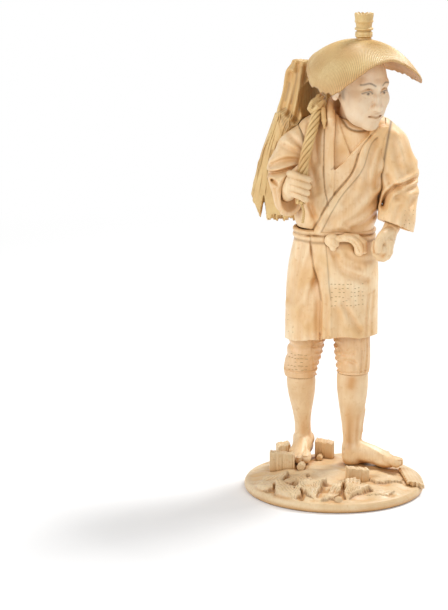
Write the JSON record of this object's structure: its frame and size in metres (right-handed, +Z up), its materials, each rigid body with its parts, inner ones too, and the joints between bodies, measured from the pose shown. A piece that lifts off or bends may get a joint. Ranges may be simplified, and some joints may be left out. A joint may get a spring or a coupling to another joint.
{
  "type": "okimono carving",
  "caption": "Standing sectional figure of a countryman in a short robe and straw hat, a cape slung on a rope, dowelled together on a round domed base.",
  "frame": {"origin": "centre of the base's flat underside", "axes": "+Z up through the figure, -Y towards the viewer, +X to the viewer's right"},
  "size_m": [0.1002, 0.1, 0.2645],
  "materials": {
    "robe_ivory": "polished, stained in the folds",
    "pale_ivory": "polished",
    "straw_ivory": "satin, stained grooves",
    "ground_ivory": "polished",
    "peg_wood": "plain"
  },
  "bodies": {
    "root": {"bark_slab": "ground_ivory", "base": "ground_ivory", "belt_bow": "robe_ivory", "bow_peg": "peg_wood", "cape_pegs": "peg_wood", "chest_insert": "robe_ivory", "foot_dowels": "peg_wood", "front_chip": "ground_ivory", "hat": "straw_ivory", "hat_dowel": "peg_wood", "hat_knot": "straw_ivory", "head": "pale_ivory", "hip_dowels": "peg_wood", "large_twig": "ground_ivory", "left_hand": "pale_ivory", "left_leg": "pale_ivory", "left_log": "ground_ivory", "left_sleeve": "robe_ivory", "left_trouser": "robe_ivory", "log_pegs": "peg_wood", "lower_robe": "robe_ivory", "rear_left_log": "ground_ivory", "rear_right_log": "ground_ivory", "right_hand": "pale_ivory", "right_leg": "pale_ivory", "right_sleeve": "robe_ivory", "right_trouser": "robe_ivory", "rope_knot": "robe_ivory", "rope_tail": "straw_ivory", "shoulder_dowels": "peg_wood", "shoulder_rope": "straw_ivory", "small_twig": "ground_ivory", "straw_cape": "straw_ivory", "upper_robe": "robe_ivory", "waist_dowels": "peg_wood", "wrist_pegs": "peg_wood"}
  },
  "joints": []
}
